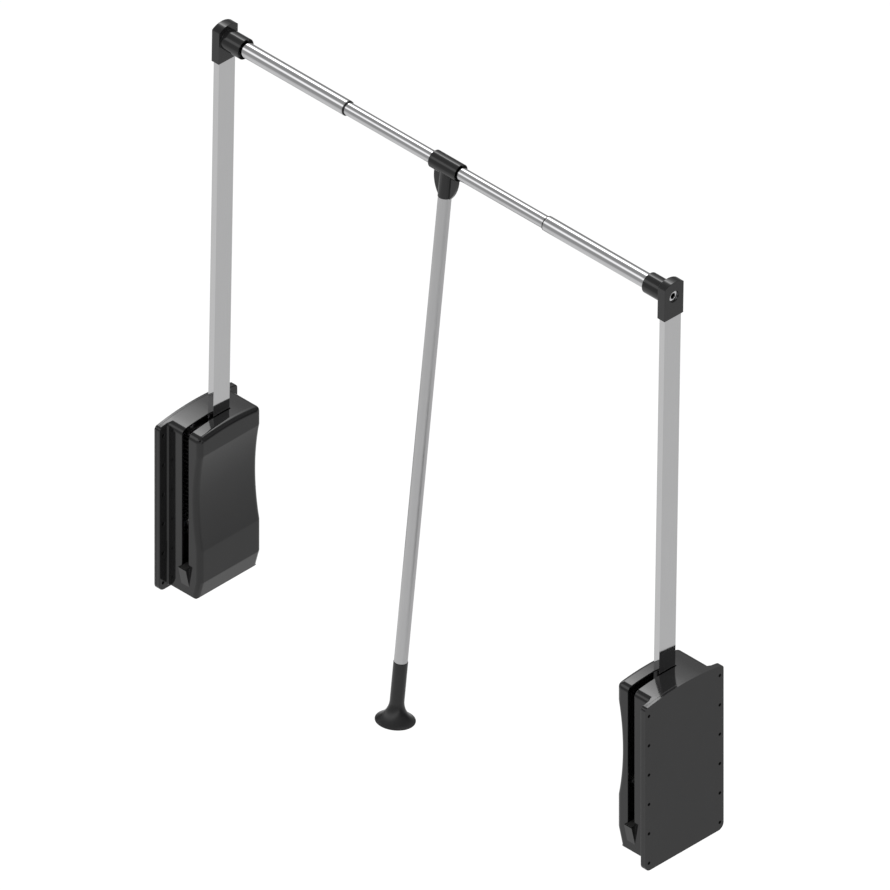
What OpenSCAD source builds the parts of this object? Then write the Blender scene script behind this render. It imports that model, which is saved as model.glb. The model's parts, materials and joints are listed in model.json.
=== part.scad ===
// Pull down closet rod: two spring loaded arms swing a telescopic hanging rail
// down out of a tall wardrobe, and a pull rod hangs from the middle of the rail.
// X runs across the wardrobe, -Y is the front, +Z is up.
// The origin is the middle of the screw holes, on the outer face of the left wall plate.

/* [Overall] */
// Width over the outer faces of the two wall plates, as set
width = 938; // [830:1:1150]
// Narrowest width that the rail can be set to
width_min = 830; // [780:1:830]
// Widest width that the rail can be set to
width_max = 1150; // [1000:1:1150]
// Distance from the arm pivot to the rail axis
arm_reach = 818; // [600:1:900]
// Angle by which the raised arms lean back, in degrees
arm_lean = 1.1; // [0:0.05:3]
// Angle through which the arms swing down, in degrees
arm_swing = 94.5; // [85:0.5:96]
// Distance from the rail axis to the end of the pull rod
rod_reach = 873; // [500:1:1000]
// Angle by which the pull rod leans forward, in degrees
rod_lean = 6.6; // [0:0.1:10]

/* [Casing] */
// Depth of the wall plate, front to back
plate_w = 150; // [140:1:180]
// Height of the wall plate's straight sides
plate_h = 268; // [250:1:320]
// Thickness of the steel back plate
plate_t = 4; // [3:0.5:5]
// Thickness of the cover's flange
flange_t = 5.5; // [3:0.5:6]
// Radius of the wall plate's lower corners
plate_low_r = 10; // [4:1:16]
// Radius of the wall plate's upper corners
plate_high_r = 6; // [3:1:12]
// Height of the top edge's arch
arch_rise = 9; // [4:1:16]
// Radius of the arch on the top edge
arch_r = 380; // [300:10:600]
// Depth of the raised casing, front to back
cover_w = 118; // [110:1:124]
// Distance from the wall to the casing's inner face
cover_depth = 71.3; // [68:0.1:80]
// Height of the raised casing above the plate's lower edge
cover_lift = 6.5; // [4:0.5:12]
// Thickness of the cover's walls
cover_wall = 2.8; // [2:0.1:3.4]
// Radius of the cover's upright edges
cover_edge_r = 6; // [4:0.5:10]
// Depth of the waist in the cover's inner face
waist_depth = 7.8; // [3:0.1:8]
// Height of the waist's lower edge above the plate's lower edge
waist_low = 87; // [60:1:120]
// Height of the waist's upper edge above the plate's lower edge
waist_high = 244; // [200:1:250]
// Height of the chamfer under the cover
chamfer_h = 28.5; // [15:0.5:32]
// Depth of the chamfer under the cover
chamfer_in = 7.8; // [4:0.1:10]
// Width of the slot that the arm swings in
slot_w = 12.8; // [12.4:0.1:15]

/* [Wall fixing] */
// Diameter of a screw hole in the wall plate
hole_d = 5; // [4:0.5:6.5]
// Distance between the front and rear columns of holes
hole_span = 135.4; // [130:0.2:138]
// Distance between holes in a column
hole_pitch = 48.6; // [40:0.2:50]
// Number of holes in a column
hole_rows = 6; // [2:2:6]

/* [Arm] */
// Depth of the arm tube, front to back
arm_w = 31; // [26:0.5:34]
// Thickness of the arm tube, across
arm_t = 10; // [8:0.5:10]
// Wall of the arm tube
arm_wall = 1.5; // [1:0.1:2]
// Distance from the wall to the middle of the arm
arm_u = 43; // [42:0.1:46]
// Wall of the black foot channel round the arm
foot_wall = 0.8; // [0.6:0.1:1]
// Length of the foot channel above the pivot
foot_len = 120; // [80:1:180]
// Diameter of the pivot axle
axle_d = 12; // [10:0.5:14]

/* [Rail] */
// Outer diameter of the rail's end tubes
outer_d = 22.5; // [20.5:0.1:24]
// Wall of the rail's end tubes
outer_wall = 1; // [0.8:0.1:1.2]
// Length of a rail end tube that shows past the hub
outer_show = 194.3; // [150:0.1:200]
// Outer diameter of the rail's middle tube
inner_d = 19; // [16:0.1:19]
// Wall of the rail's middle tube
inner_wall = 1.2; // [0.8:0.1:2]
// Diameter of the hub that holds a rail end tube
hub_d = 31; // [28:0.5:35]
// Length of the hub
hub_len = 33; // [25:0.5:40]
// Depth of the arm cap, front to back
cap_w = 36; // [34:0.5:40]
// Thickness of the arm cap, across
cap_t = 14; // [13:0.1:16]
// Height of the arm cap below the rail axis
cap_low = 33.7; // [24:0.1:40]
// Height of the arm cap above the rail axis
cap_high = 23.5; // [20:0.1:30]
// Diameter of the rail bolt
bolt_d = 10; // [8:1:10]

/* [Pull rod] */
// Outer diameter of the tee's sleeve on the rail
tee_d = 26.5; // [24:0.5:30]
// Length of the tee's sleeve
tee_len = 49.5; // [40:0.5:60]
// Distance from the rail axis to the end of the tee's boss
tee_drop = 47; // [40:1:80]
// Half width of the tee's web, at its widest
tee_web_w = 21.9; // [16:0.1:24]
// Diameter of the pull rod
rod_d = 19; // [16:0.1:22]
// Wall of the pull rod
rod_wall = 1; // [0.8:0.1:2]
// Diameter of the tee's boss and of the hand grip's neck
neck_d = 20.2; // [19.5:0.1:26]
// Length of the spigot in each end of the pull rod
spigot_len = 25; // [15:1:40]
// Length of the flared hand grip
grip_len = 93; // [70:1:120]
// Diameter of the hand grip's rim
grip_rim_d = 56; // [40:0.5:70]
// Height of the hand grip's flare above its rim
flare_h = 30; // [15:1:50]

/* [Lift mechanism] */
// Distance from the pivot to the crank pin
crank_r = 32; // [30:0.5:34]
// Diameter of the crank sleeve
sleeve_d = 12; // [11:0.5:13]
// Outer diameter of the lift spring
spring_d = 24; // [22:0.5:24]
// Diameter of the lift spring's wire
spring_wire = 2.8; // [2:0.1:3]
// Number of curls in the lift spring
spring_curls = 21; // [12:1:24]
// Diameter of the damper's cylinder
damper_d = 13; // [12:0.5:13.5]
// Diameter of the damper's piston rod
piston_d = 6; // [5:0.5:7]
// Length of the damper's cylinder
damper_len = 92; // [85:1:110]

/* [Hidden] */
$fn = 96;

// Clearances
run_gap = 0.05;
fit_gap = 0.1;
stop_gap = 0.3;
cut = 1;

// Casing levels, from the plate's lower edge at -plate_h / 2
plate_low = -plate_h / 2;
arch_top = plate_h / 2 + arch_rise;
flange_u = plate_t + flange_t;
cover_low = plate_low + cover_lift;
cover_low_r = 3;
cover_high_r = plate_high_r - 1;
chamfer_ease = 0.1;
waist_mid = plate_low + (waist_low + waist_high) / 2;
waist_half = (waist_high - waist_low) / 2;
waist_r = (waist_half * waist_half + waist_depth * waist_depth) / (2 * waist_depth);

// Pivot and lower stop
pivot_y = 0.9;
pivot_z = plate_low + 72;
below_level = arm_swing - 90 - arm_lean;
wedge_out = 6.6;
wedge_w = 15;
wedge_h = 30;
foot_half = arm_w / 2 + foot_wall;
stop_reach = cover_w / 2 + wedge_out + pivot_y;
stop_z = pivot_z - foot_half / cos(below_level) - stop_reach * tan(below_level) - stop_gap;
pad_t = 3;
pad_proud = 0.5;
pad_w = wedge_w - 4;
wedge_top = stop_z - pad_proud;
wedge_back = -cover_w / 2 + 11;

// Upper stop, behind the arm
rest_z = arch_top - 17;
rest_h = 16;
rest_y = pivot_y + (rest_z + rest_h / 2 - pivot_z) * tan(arm_lean) + arm_w / 2 / cos(arm_lean) + stop_gap;
rest_t = 6;
rest_rib = 3;
slot_back = rest_y + 1.2;

// Arm and foot
foot_t = arm_t + 2 * foot_wall;
arm_start = 12;
arm_over = 15;
bush_d = 18;
collar_d = 22;
foot_screw_d = 6;
foot_screw_z = [28, 44];

// Steel frame inside the casing
steel_t = 2.5;
cheek_u = 55.5;
cheek_r = 18;
base_front = -50;
base_back = 32;
base_high = plate_low + 106;
web_low = plate_low + 30;
screw_d = 5;
screw_head_d = 9;
screw_head_t = 2.8;
screw_bite = 3.2;
anchor_z = arch_top - 18;
anchor_h = 22;
axle_head_d = 20;
axle_head_t = 3;
ring_t = 1.2;
ring_d = 18;
groove_d = 11;
ring_u = plate_t + steel_t + 0.2;
spacer_d = 16;

// Crank, yoke, spring and damper
crank_t = 4;
crank_u = arm_u - foot_t / 2 - crank_t;
crank_w = 22;
crank_len = 50;
crank_lobe_r = 10;
crank_pin_d = 8;
half_swing = arm_swing / 2;
crank_angle = 90 - half_swing + arm_lean;
sleeve_half = 2.8;
mech_u = 19.5;
mech_y = pivot_y - crank_r * (1 + cos(half_swing)) / 2;
pin_z = pivot_z + crank_r * sin(half_swing);
yoke_t = 4;
yoke_play = 1.4;
yoke_slot_h = sleeve_d + 2 * yoke_play;
yoke_rim = 4;
seat_t = 3;
seat_z = pin_z + yoke_slot_h / 2 + yoke_rim + seat_t;
spring_plug_d = (spring_d - 2 * spring_wire) * cos(22.5) - 0.4;
yoke_plug_h = 11;
anchor_plug_h = 14;
shelf_depth = 30;
shelf_half = 16.5;
travel = 2 * crank_r * sin(half_swing);
piston_t = 6;
damper_bore = damper_d - 3;
damper_top = anchor_z - 0.2;
gland_t = 5;
stud_d = 6;
nut_af = 10;
nut_h = 5;
rod_bite = 12;

// Rail ends
rail_y = pivot_y + arm_reach * sin(arm_lean);
rail_z = pivot_z + arm_reach * cos(arm_lean);
cap_u = arm_u + cap_t / 2;
cap_top_r = 30;
hub_floor = 4;
lip_deep = 4;
lip_wall = 1.2;
tube_u = cap_u + hub_floor;
outer_end = cap_u + hub_len + outer_show;
bolt_head_d = 1.6 * bolt_d;
bolt_head_h = 0.8 * bolt_d;
bolt_seat_u = arm_u + arm_t / 2 - arm_wall;
bolt_len = 30;
hex_af = 8;
hex_deep = 5;
plug_len = 24;
liner_len = 25;
liner_flange = 1.8;
end_gap = 5;
inner_len = width_min - 2 * (tube_u + plug_len + end_gap);
echo(rail_overlap = outer_end - (width_max - inner_len) / 2);

// Tee, pull rod and hand grip
tee_web_t = 5;
tee_web_z = 17.2;
tee_web_r = 47.4;
spigot_d = rod_d - 2 * rod_wall - 2 * run_gap;
rim_t = 1.5;
grip_wall = 2.4;
grip_bore = 12;

// Smallest gap between the lift spring's curls
spring_len = anchor_z - seat_z;
spring_pitch = (spring_len - spring_wire) / spring_curls;
echo(spring_gap = spring_pitch - spring_wire);

// Colours
black_plastic = [0.1, 0.1, 0.105];
black_steel = [0.13, 0.13, 0.135];
rubber = [0.06, 0.06, 0.06];
zinc = [0.66, 0.67, 0.69];
spring_steel = [0.12, 0.12, 0.125];
aluminium = [0.71, 0.71, 0.72];
chrome = [0.86, 0.87, 0.88];
brushed = [0.6, 0.6, 0.61];

// Places a left hand piece, or mirrors it to the right hand side
module on_side(side) {
    if (side == "left") children();
    else translate([width, 0, 0]) mirror([1, 0, 0]) children();
}

// Arm frame: Z runs up the arm from its pivot
module in_arm() {
    translate([0, pivot_y, pivot_z]) rotate([-arm_lean, 0, 0]) children();
}

// Rail frame: X runs along the rail axis
module in_rail() {
    in_arm() translate([0, 0, arm_reach]) children();
}

// Rod frame: Z runs up the pull rod to the rail axis
module in_rod() {
    translate([width / 2, rail_y, rail_z]) rotate([-rod_lean, 0, 0]) children();
}

// Cylinder along X from one distance off the wall to another
module along_x(from, to, d) {
    translate([from, 0, 0]) rotate([0, 90, 0]) cylinder(h = to - from, d = d);
}

// Flat shape in Y and Z, given a thickness along X
module sheet_x(from, to) {
    translate([from, 0, 0]) rotate([90, 0, 90]) linear_extrude(to - from) children();
}

// Upright panel in Y and Z with an arched top and rounded corners
module arched_panel(w, low, top, low_r, high_r) {
    half = w / 2;
    centre_z = top - arch_r;
    corner_z = centre_z + sqrt(pow(arch_r - high_r, 2) - pow(half - high_r, 2));
    touch = (half - high_r) * arch_r / (arch_r - high_r);
    translate([-half, low + low_r]) square([w, corner_z - low - low_r]);
    translate([-half + low_r, low]) square([w - 2 * low_r, 2 * low_r]);
    intersection() {
        translate([-touch, low + low_r]) square([2 * touch, top - low]);
        translate([0, centre_z]) circle(r = arch_r, $fn = 360);
    }
    for (side = [-1, 1]) {
        translate([side * (half - low_r), low + low_r]) circle(r = low_r);
        translate([side * (half - high_r), corner_z]) circle(r = high_r);
    }
}

// The screw holes of the wall plate
module wall_holes(from, to) {
    for (side = [-1, 1], row = [0 : hole_rows - 1]) {
        translate([0, side * hole_span / 2, (row - (hole_rows - 1) / 2) * hole_pitch])
            along_x(from, to, hole_d);
    }
}

// Plan of the raised casing, in X and Y, eased to cross the sides and not touch them
module cover_plan(inset, ease) {
    corner = max(cover_edge_r - inset, 1) + 5 * ease;
    half = cover_w / 2 - inset + ease;
    depth = cover_depth - inset;
    translate([-2 * depth, -half]) square([3 * depth - corner, 2 * half]);
    translate([0, corner - half]) square([depth, 2 * (half - corner)]);
    for (side = [-1, 1]) {
        translate([depth - corner, side * (half - corner)]) circle(r = corner);
    }
}

// Ring that hollows the waist and keeps the upright edges round along it
module waist_ring(inset) {
    corner = max(cover_edge_r - inset, 1);
    half = cover_w / 2 - inset;
    ring_r = waist_r + inset;
    translate([cover_depth + waist_r - waist_depth, 0, waist_mid])
        rotate([90, 0, 0])
            rotate_extrude($fn = 720) difference() {
                translate([0, -cover_w]) square([ring_r + corner, 2 * cover_w]);
                translate([ring_r, corner - half]) square([2 * corner, 2 * (half - corner)]);
                for (side = [-1, 1]) {
                    translate([ring_r + corner, side * (half - corner)]) circle(r = corner);
                }
            }
}

// Raised casing as a solid, or its cavity when inset by the wall
module casing_solid(inset, from) {
    slope = atan(chamfer_in / chamfer_h);
    difference() {
        intersection() {
            translate([0, 0, cover_low - cut])
                linear_extrude(arch_top - cover_low + 2 * cut) cover_plan(inset, 0);
            // The same plan, laid along the chamfer
            translate([cover_depth, 0, cover_low + chamfer_h])
                rotate([0, slope, 0])
                    translate([-cover_depth, 0, -plate_h])
                        linear_extrude(3 * plate_h) cover_plan(inset, chamfer_ease);
            sheet_x(from, cover_depth + cut) arched_panel(
                cover_w - 2 * inset, cover_low + inset, arch_top - inset, cover_low_r, cover_high_r
            );
        }
        waist_ring(inset);
    }
}

// Wedge at the foot of the slot, which the lowered arm lands on
module stop_wedge() {
    front = -cover_w / 2;
    sheet_x(arm_u - wedge_w / 2, arm_u + wedge_w / 2)
        polygon([
            [front - wedge_out, wedge_top],
            [front, wedge_top - wedge_h],
            [front + cover_wall, wedge_top - wedge_h],
            [wedge_back, wedge_top - 2 * pad_t],
            [wedge_back, wedge_top]
        ]);
}

module back_plate() color(black_plastic) difference() {
    sheet_x(0, plate_t) arched_panel(plate_w, plate_low, arch_top, plate_low_r, plate_high_r);
    wall_holes(-cut, plate_t + cut);
    frame_screw_places() along_x(plate_t - screw_bite - fit_gap, plate_t + cut, screw_d + 2 * fit_gap);
}

module cover() color(black_plastic) {
    difference() {
        union() {
            difference() {
                union() {
                    sheet_x(plate_t, flange_u)
                        arched_panel(plate_w, plate_low, arch_top, plate_low_r, plate_high_r);
                    casing_solid(0, plate_t);
                }
                casing_solid(cover_wall, plate_t - cut);
                // Slot over the top and down the front
                translate([arm_u - slot_w / 2, -cover_w, wedge_top])
                    cube([slot_w, cover_w + slot_back, arch_top - wedge_top + cut]);
                wall_holes(plate_t - cut, flange_u + cut);
            }
            stop_wedge();
            // Rib behind the upper stop
            translate([arm_u - slot_w / 2 - 2, rest_y + rest_t, rest_z - rest_h / 2])
                cube([slot_w + 4, rest_rib, arch_top - cover_wall - rest_z + rest_h / 2]);
        }
        // Pocket for the lower buffer
        translate([arm_u - pad_w / 2 - fit_gap, -cover_w / 2 - wedge_out + 1.5, stop_z - pad_t])
            cube([pad_w + 2 * fit_gap, wedge_back + cover_w / 2 + wedge_out, pad_t + cut]);
    }
}

// Where the frame screws go into the back plate
module frame_screw_places() {
    for (y = [base_front + 7, base_back - 6], z = [web_low + 10, base_high - 8]) {
        translate([0, y, z]) children();
    }
    for (side = [-1, 1]) {
        translate([0, mech_y + side * 11, anchor_z - anchor_h + 8]) children();
    }
}

module bracket() color(zinc) difference() {
    union() {
        translate([plate_t, base_front, web_low])
            cube([steel_t, base_back - base_front, base_high - web_low]);
        translate([plate_t, pivot_y - cheek_r, web_low])
            cube([cheek_u + steel_t - plate_t, 2 * cheek_r, steel_t]);
        translate([cheek_u, pivot_y - cheek_r, web_low]) cube([steel_t, 2 * cheek_r, pivot_z - web_low]);
        translate([0, pivot_y, pivot_z]) along_x(cheek_u, cheek_u + steel_t, 2 * cheek_r);
    }
    translate([0, pivot_y, pivot_z]) along_x(plate_t - cut, cheek_u + 2 * steel_t, axle_d + 2 * run_gap);
    frame_screw_places() along_x(plate_t - cut, plate_t + steel_t + cut, screw_d + 2 * fit_gap);
}

module frame_screws() color(zinc) {
    frame_screw_places() difference() {
        union() {
            along_x(plate_t - screw_bite, plate_t + steel_t + screw_head_t, screw_d);
            along_x(plate_t + steel_t, plate_t + steel_t + screw_head_t, screw_head_d);
        }
        translate([plate_t + steel_t + screw_head_t - 1.8, 0, 0])
            rotate([0, 90, 0]) cylinder(h = 2 + cut, d = 3.5, $fn = 6);
    }
}

module axle() color(zinc) translate([0, pivot_y, pivot_z]) difference() {
    union() {
        along_x(plate_t + 0.3, cheek_u + steel_t, axle_d);
        along_x(cheek_u + steel_t, cheek_u + steel_t + axle_head_t, axle_head_d);
    }
    // Groove for the retaining ring
    difference() {
        along_x(ring_u - 0.1, ring_u + ring_t + 0.1, axle_d + 2);
        along_x(ring_u - 0.2, ring_u + ring_t + 0.2, groove_d);
    }
}

module axle_ring() color(spring_steel) translate([0, pivot_y, pivot_z]) difference() {
    along_x(ring_u, ring_u + ring_t, ring_d);
    along_x(ring_u - cut, ring_u + ring_t + cut, groove_d + 2 * run_gap);
    // Gap that lets the ring spring on
    translate([ring_u - cut, -groove_d / 4, -ring_d]) cube([ring_t + 2 * cut, groove_d / 2, ring_d]);
}

module axle_spacer() color(zinc) translate([0, pivot_y, pivot_z]) difference() {
    along_x(ring_u + ring_t + 0.2, crank_u - 0.2, spacer_d);
    along_x(ring_u, crank_u + cut, axle_d + 2 * run_gap);
}

module pivot_bush() color([0.85, 0.84, 0.8]) in_arm() difference() {
    union() {
        along_x(crank_u, arm_u + foot_t / 2 + 0.2, bush_d);
        along_x(arm_u + foot_t / 2 + 0.1, cheek_u - 0.2, collar_d);
    }
    along_x(crank_u - cut, cheek_u + cut, axle_d + 2 * run_gap);
}

module arm_foot() color(black_steel) in_arm() difference() {
    union() {
        along_x(arm_u - foot_t / 2, arm_u + foot_t / 2, 2 * foot_half);
        translate([arm_u - foot_t / 2, -foot_half, 0]) cube([foot_t, foot_half + arm_w / 2, foot_len]);
    }
    // Channel for the arm tube, open at the back
    translate([arm_u - arm_t / 2 - run_gap, -arm_w / 2 - run_gap, -2 * foot_half])
        cube([arm_t + 2 * run_gap, 2 * foot_half + arm_w, 2 * foot_len]);
    along_x(arm_u - foot_t, arm_u + foot_t, bush_d + 2 * run_gap);
    for (z = foot_screw_z) {
        translate([0, 0, z]) along_x(arm_u - foot_t, arm_u + foot_t, foot_screw_d + 2 * fit_gap);
    }
}

module crank() color(zinc) in_arm() {
    sheet_x(crank_u, crank_u + crank_t) difference() {
        union() {
            circle(r = foot_half - 1);
            translate([-crank_w / 2, 0]) square([crank_w, crank_len]);
            rotate(crank_angle) {
                translate([-crank_lobe_r, 0]) square([2 * crank_lobe_r, crank_r]);
                translate([0, crank_r]) circle(r = crank_lobe_r);
            }
        }
        circle(d = bush_d + 2 * run_gap);
        for (z = foot_screw_z) {
            translate([0, z]) circle(d = foot_screw_d + 2 * fit_gap);
        }
    }
    // Crank pin with its retaining head
    rotate([crank_angle, 0, 0]) translate([0, 0, crank_r]) {
        along_x(mech_u - sleeve_half - 1.2, crank_u + cut, crank_pin_d);
        along_x(mech_u - sleeve_half - 1.7, mech_u - sleeve_half - 0.2, crank_pin_d + 2);
    }
}

module crank_sleeve() color([0.85, 0.84, 0.8])
    in_arm() rotate([crank_angle, 0, 0]) translate([0, 0, crank_r]) difference() {
        along_x(mech_u - sleeve_half, mech_u + sleeve_half, sleeve_d);
        along_x(mech_u - sleeve_half - cut, mech_u + sleeve_half + cut, crank_pin_d + 2 * run_gap);
    }

module foot_screws() color(zinc) in_arm() for (z = foot_screw_z) {
    translate([0, 0, z]) difference() {
        union() {
            along_x(crank_u + 0.2, arm_u + foot_t / 2 + 3, foot_screw_d);
            along_x(arm_u + foot_t / 2, arm_u + foot_t / 2 + 3, 1.7 * foot_screw_d);
        }
        translate([arm_u + foot_t / 2 + 1.2, 0, 0]) rotate([0, 90, 0]) cylinder(h = 3, d = 4.6, $fn = 6);
    }
}

module arm_tube() color(aluminium) in_arm() difference() {
    translate([arm_u - arm_t / 2, -arm_w / 2, arm_start])
        cube([arm_t, arm_w, arm_reach + arm_over - arm_start]);
    translate([arm_u - arm_t / 2 + arm_wall, -arm_w / 2 + arm_wall, arm_start - cut])
        cube([arm_t - 2 * arm_wall, arm_w - 2 * arm_wall, arm_reach + arm_over]);
    for (z = foot_screw_z) {
        translate([0, 0, z]) along_x(arm_u - arm_t, arm_u + arm_t, foot_screw_d + 2 * fit_gap);
    }
    // The bolt's head passes the outer wall and seats on the inner one
    translate([0, 0, arm_reach]) {
        along_x(arm_u - arm_t, arm_u, bolt_head_d + 1);
        along_x(arm_u, arm_u + arm_t, bolt_d + 4 * fit_gap);
    }
}

module yoke() color(zinc) translate([mech_u, mech_y, 0]) {
    slot_end = crank_r * (1 - cos(half_swing)) / 2 + sleeve_d / 2 + 1;
    half_h = yoke_slot_h / 2;
    difference() {
        translate([-yoke_t / 2, -slot_end - yoke_rim, pin_z - half_h - yoke_rim])
            cube([yoke_t, 2 * (slot_end + yoke_rim), yoke_slot_h + 2 * yoke_rim]);
        translate([-yoke_t, -slot_end, pin_z - half_h]) cube([2 * yoke_t, 2 * slot_end, yoke_slot_h]);
    }
    // Seat and screw-in plug for the spring, bored for the piston rod
    difference() {
        union() {
            translate([0, 0, seat_z - seat_t]) cylinder(h = seat_t, d = spring_d);
            translate([0, 0, seat_z]) cylinder(h = yoke_plug_h, d = spring_plug_d);
        }
        translate([0, 0, seat_z + yoke_plug_h - rod_bite])
            cylinder(h = rod_bite + cut, d = piston_d + 2 * run_gap);
    }
}

// Points of a ring of the spring wire, at one step of the helix
function wire_ring(a, z, r, wire) = [
    for (k = [0 : 5]) [
        (r + wire / 2 * cos(60 * k)) * cos(a),
        (r + wire / 2 * cos(60 * k)) * sin(a),
        z + wire / 2 * sin(60 * k)
    ]
];

// Helical wire of hexagonal section, one unbroken tube
module helix(length, d, wire, curls) {
    steps = 8 * curls;
    rise = length - wire;
    points = [
        for (i = [0 : steps]) each wire_ring(45 * i, wire / 2 + rise * i / steps, (d - wire) / 2, wire)
    ];
    last = 6 * steps;
    sides = [
        for (i = [0 : steps - 1], k = [0 : 5]) each [
            [6 * i + k, 6 * i + 6 + k, 6 * i + 6 + (k + 1) % 6],
            [6 * i + k, 6 * i + 6 + (k + 1) % 6, 6 * i + (k + 1) % 6]
        ]
    ];
    ends = [
        for (k = [1 : 4]) each [[0, k, k + 1], [last, last + k + 1, last + k]]
    ];
    polyhedron(points = points, faces = concat(sides, ends));
}

module lift_spring() color(spring_steel)
    translate([mech_u, mech_y, seat_z]) helix(spring_len, spring_d, spring_wire, spring_curls);

module spring_anchor() color(zinc) {
    difference() {
        union() {
            translate([plate_t, mech_y - shelf_half, anchor_z - anchor_h])
                cube([steel_t, 2 * shelf_half, anchor_h]);
            translate([plate_t, mech_y - shelf_half, anchor_z])
                cube([shelf_depth, 2 * shelf_half, steel_t]);
            translate([mech_u, mech_y, anchor_z - anchor_plug_h])
                cylinder(h = anchor_plug_h, d = spring_plug_d);
        }
        translate([mech_u, mech_y, anchor_z - anchor_plug_h - cut])
            cylinder(h = anchor_plug_h + cut, d = damper_d + 2 * fit_gap);
        translate([mech_u, mech_y, anchor_z - cut])
            cylinder(h = steel_t + 2 * cut, d = stud_d + 2 * fit_gap);
        frame_screw_places() along_x(plate_t - cut, plate_t + steel_t + cut, screw_d + 2 * fit_gap);
    }
}

module damper_cylinder() color(black_steel) translate([mech_u, mech_y, damper_top]) {
    difference() {
        translate([0, 0, -damper_len]) cylinder(h = damper_len, d = damper_d);
        translate([0, 0, gland_t - damper_len]) cylinder(h = damper_len - 2 * gland_t, d = damper_bore);
        translate([0, 0, -damper_len - cut]) cylinder(h = gland_t + 2 * cut, d = piston_d + 2 * run_gap);
    }
    translate([0, 0, -cut]) cylinder(h = steel_t + nut_h + cut + 1, d = stud_d);
}

module damper_rod() color(chrome) translate([mech_u, mech_y, 0]) {
    low = seat_z + yoke_plug_h - rod_bite + fit_gap;
    high = damper_top - gland_t - 1;
    translate([0, 0, low]) cylinder(h = high - low, d = piston_d);
    translate([0, 0, high - piston_t]) cylinder(h = piston_t, d = damper_bore - 2 * run_gap);
}

module damper_nut() color(zinc) translate([mech_u, mech_y, anchor_z + steel_t]) difference() {
    cylinder(h = nut_h, d = nut_af / cos(30), $fn = 6);
    translate([0, 0, -cut]) cylinder(h = nut_h + 2 * cut, d = stud_d + 2 * run_gap);
}

module rest_buffer() color(rubber)
    translate([arm_u - slot_w / 2 + 1, rest_y, rest_z - rest_h / 2]) cube([slot_w - 2, rest_t, rest_h]);

module lower_buffer() color(rubber)
    translate([arm_u - pad_w / 2, -cover_w / 2 - wedge_out + 1.5 + fit_gap, stop_z - pad_t])
        cube([pad_w, wedge_back + cover_w / 2 + wedge_out - 2, pad_t]);

module arm_cap() color(black_plastic) in_rail() difference() {
    union() {
        sheet_x(cap_u - cap_t, cap_u) intersection() {
            translate([-cap_w / 2, -cap_low]) square([cap_w, cap_low + cap_high]);
            translate([0, cap_high - cap_top_r]) circle(r = max(cap_top_r, cap_w / 2), $fn = 180);
        }
        sheet_x(cap_u - cap_t, cap_u) translate([-cap_w / 2, -cap_low]) square([cap_w, cap_low]);
        along_x(cap_u - cut, cap_u + hub_len, hub_d);
    }
    // Socket for the arm
    translate([arm_u - arm_t / 2 - fit_gap, -arm_w / 2 - fit_gap, -cap_low - cut])
        cube([arm_t + 2 * fit_gap, arm_w + 2 * fit_gap, cap_low + cut + arm_over + fit_gap]);
    along_x(cap_u - cap_t - cut, arm_u, bolt_head_d + 1);
    along_x(arm_u, tube_u + cut, bolt_d + 4 * fit_gap);
    along_x(tube_u, cap_u + hub_len + cut, outer_d + 2 * run_gap);
    along_x(cap_u + hub_len - lip_deep, cap_u + hub_len + cut, hub_d - 2 * lip_wall);
}

module rail_bolt() color(chrome) in_rail() difference() {
    union() {
        along_x(bolt_seat_u - bolt_head_h, bolt_seat_u, bolt_head_d);
        along_x(bolt_seat_u - cut, bolt_seat_u + bolt_len, bolt_d);
    }
    translate([bolt_seat_u - bolt_head_h - cut, 0, 0])
        rotate([0, 90, 0]) cylinder(h = hex_deep + cut, d = hex_af / cos(30), $fn = 6);
}

module rail_plug() color(zinc) in_rail() difference() {
    along_x(tube_u + run_gap, tube_u + plug_len, outer_d - 2 * outer_wall - 2 * run_gap);
    along_x(tube_u - cut, tube_u + plug_len + cut, bolt_d + 2 * run_gap);
}

module outer_tube() color(chrome) in_rail() difference() {
    along_x(tube_u, outer_end, outer_d);
    along_x(tube_u - cut, outer_end + cut, outer_d - 2 * outer_wall);
}

module tube_bush() color(black_plastic) in_rail() difference() {
    union() {
        along_x(outer_end - liner_len, outer_end + liner_flange, outer_d - 2 * outer_wall - 2 * run_gap);
        along_x(outer_end, outer_end + liner_flange, outer_d - 0.4);
    }
    along_x(outer_end - liner_len - cut, outer_end + liner_flange + cut, inner_d + 2 * run_gap);
}

module inner_tube() color(chrome) in_rail() difference() {
    along_x((width - inner_len) / 2, (width + inner_len) / 2, inner_d);
    along_x((width - inner_len) / 2 - cut, (width + inner_len) / 2 + cut, inner_d - 2 * inner_wall);
}

module rod_tee() color(black_plastic) in_rod() difference() {
    union() {
        along_x(-tee_len / 2, tee_len / 2, tee_d);
        translate([0, 0, -tee_drop]) cylinder(h = tee_drop, d = neck_d);
        translate([0, 0, -tee_drop - spigot_len]) cylinder(h = spigot_len + cut, d = spigot_d);
        // Web that curves in from the sleeve to the boss
        translate([0, tee_web_t / 2, 0]) rotate([90, 0, 0]) linear_extrude(tee_web_t) intersection() {
            translate([-tee_web_w - cut, -tee_drop]) square([2 * (tee_web_w + cut), tee_drop]);
            translate([tee_web_w - tee_web_r, -tee_web_z]) circle(r = tee_web_r, $fn = 180);
            translate([tee_web_r - tee_web_w, -tee_web_z]) circle(r = tee_web_r, $fn = 180);
        }
    }
    along_x(-tee_len, tee_len, inner_d + 2 * run_gap);
    for (end = [-1, 1]) {
        translate([end * tee_len / 2, 0, 0]) along_x(-lip_deep, lip_deep, tee_d - 2 * lip_wall);
    }
}

module pull_rod() color(brushed) in_rod() translate([0, 0, grip_len - rod_reach]) difference() {
    rod_len = rod_reach - grip_len - tee_drop;
    cylinder(h = rod_len, d = rod_d);
    translate([0, 0, -cut]) cylinder(h = rod_len + 2 * cut, d = rod_d - 2 * rod_wall);
}

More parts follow.
